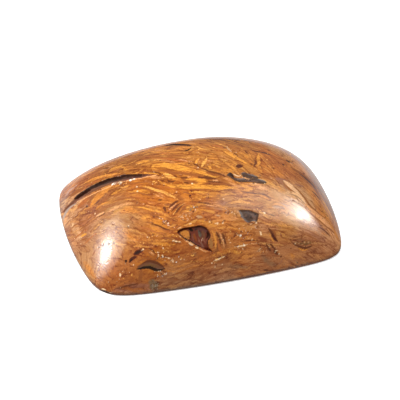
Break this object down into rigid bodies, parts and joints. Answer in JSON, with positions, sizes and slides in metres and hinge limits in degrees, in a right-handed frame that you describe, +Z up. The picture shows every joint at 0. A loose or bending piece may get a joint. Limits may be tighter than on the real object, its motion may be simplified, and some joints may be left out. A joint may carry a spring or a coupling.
{
  "type": "script stone cabochon",
  "caption": "Polished script stone cabochon: a cushion-shaped brown and ochre dome with dark inclusions on a flat back.",
  "frame": {"origin": "middle of the flat back, on the surface that the stone rests on", "axes": "+X along the longer side, towards the stone's right as its front slope faces the viewer; +Y towards its back; +Z up through the crown of the dome"},
  "size_m": [0.04, 0.03, 0.0115],
  "materials": {
    "polished_script_stone": "polished"
  },
  "bodies": {
    "root": {"cabochon": "polished_script_stone"}
  },
  "joints": []
}
